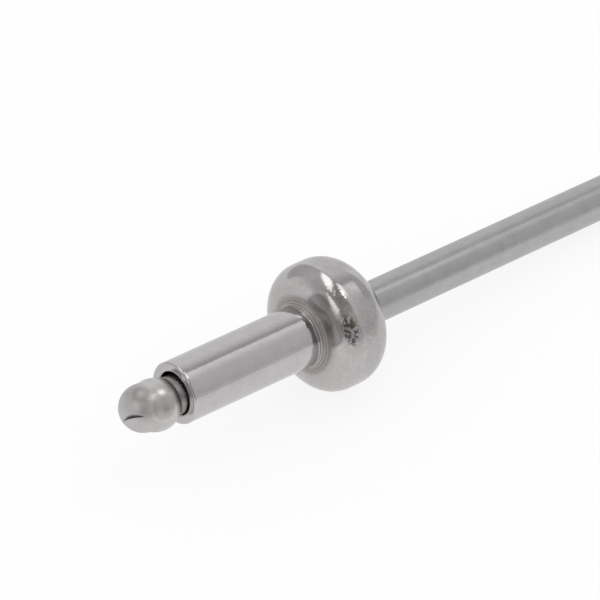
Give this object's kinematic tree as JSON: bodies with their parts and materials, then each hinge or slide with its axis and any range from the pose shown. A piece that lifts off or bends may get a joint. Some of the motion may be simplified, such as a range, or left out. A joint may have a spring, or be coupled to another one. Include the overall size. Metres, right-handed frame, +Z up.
{
  "type": "blind rivet",
  "caption": "Blind rivet with a plain barrel, a thick round head and a long mandrel whose bulb swells the barrel when it is pulled.",
  "frame": {"origin": "centre of the box's base, on the surface the rivet lies on", "axes": "+X along the lying rivet from the bulb to the tail, +Z up; the rivet's own axis slopes down 6.2 degrees towards the tail"},
  "size_m": [0.0526, 0.01, 0.0102],
  "materials": {
    "body_steel": "polished stainless steel",
    "mandrel_steel": "drawn stainless steel wire, satin"
  },
  "bodies": {
    "root": {"rivet_body": "body_steel", "mandrel": "mandrel_steel"}
  },
  "joints": []
}
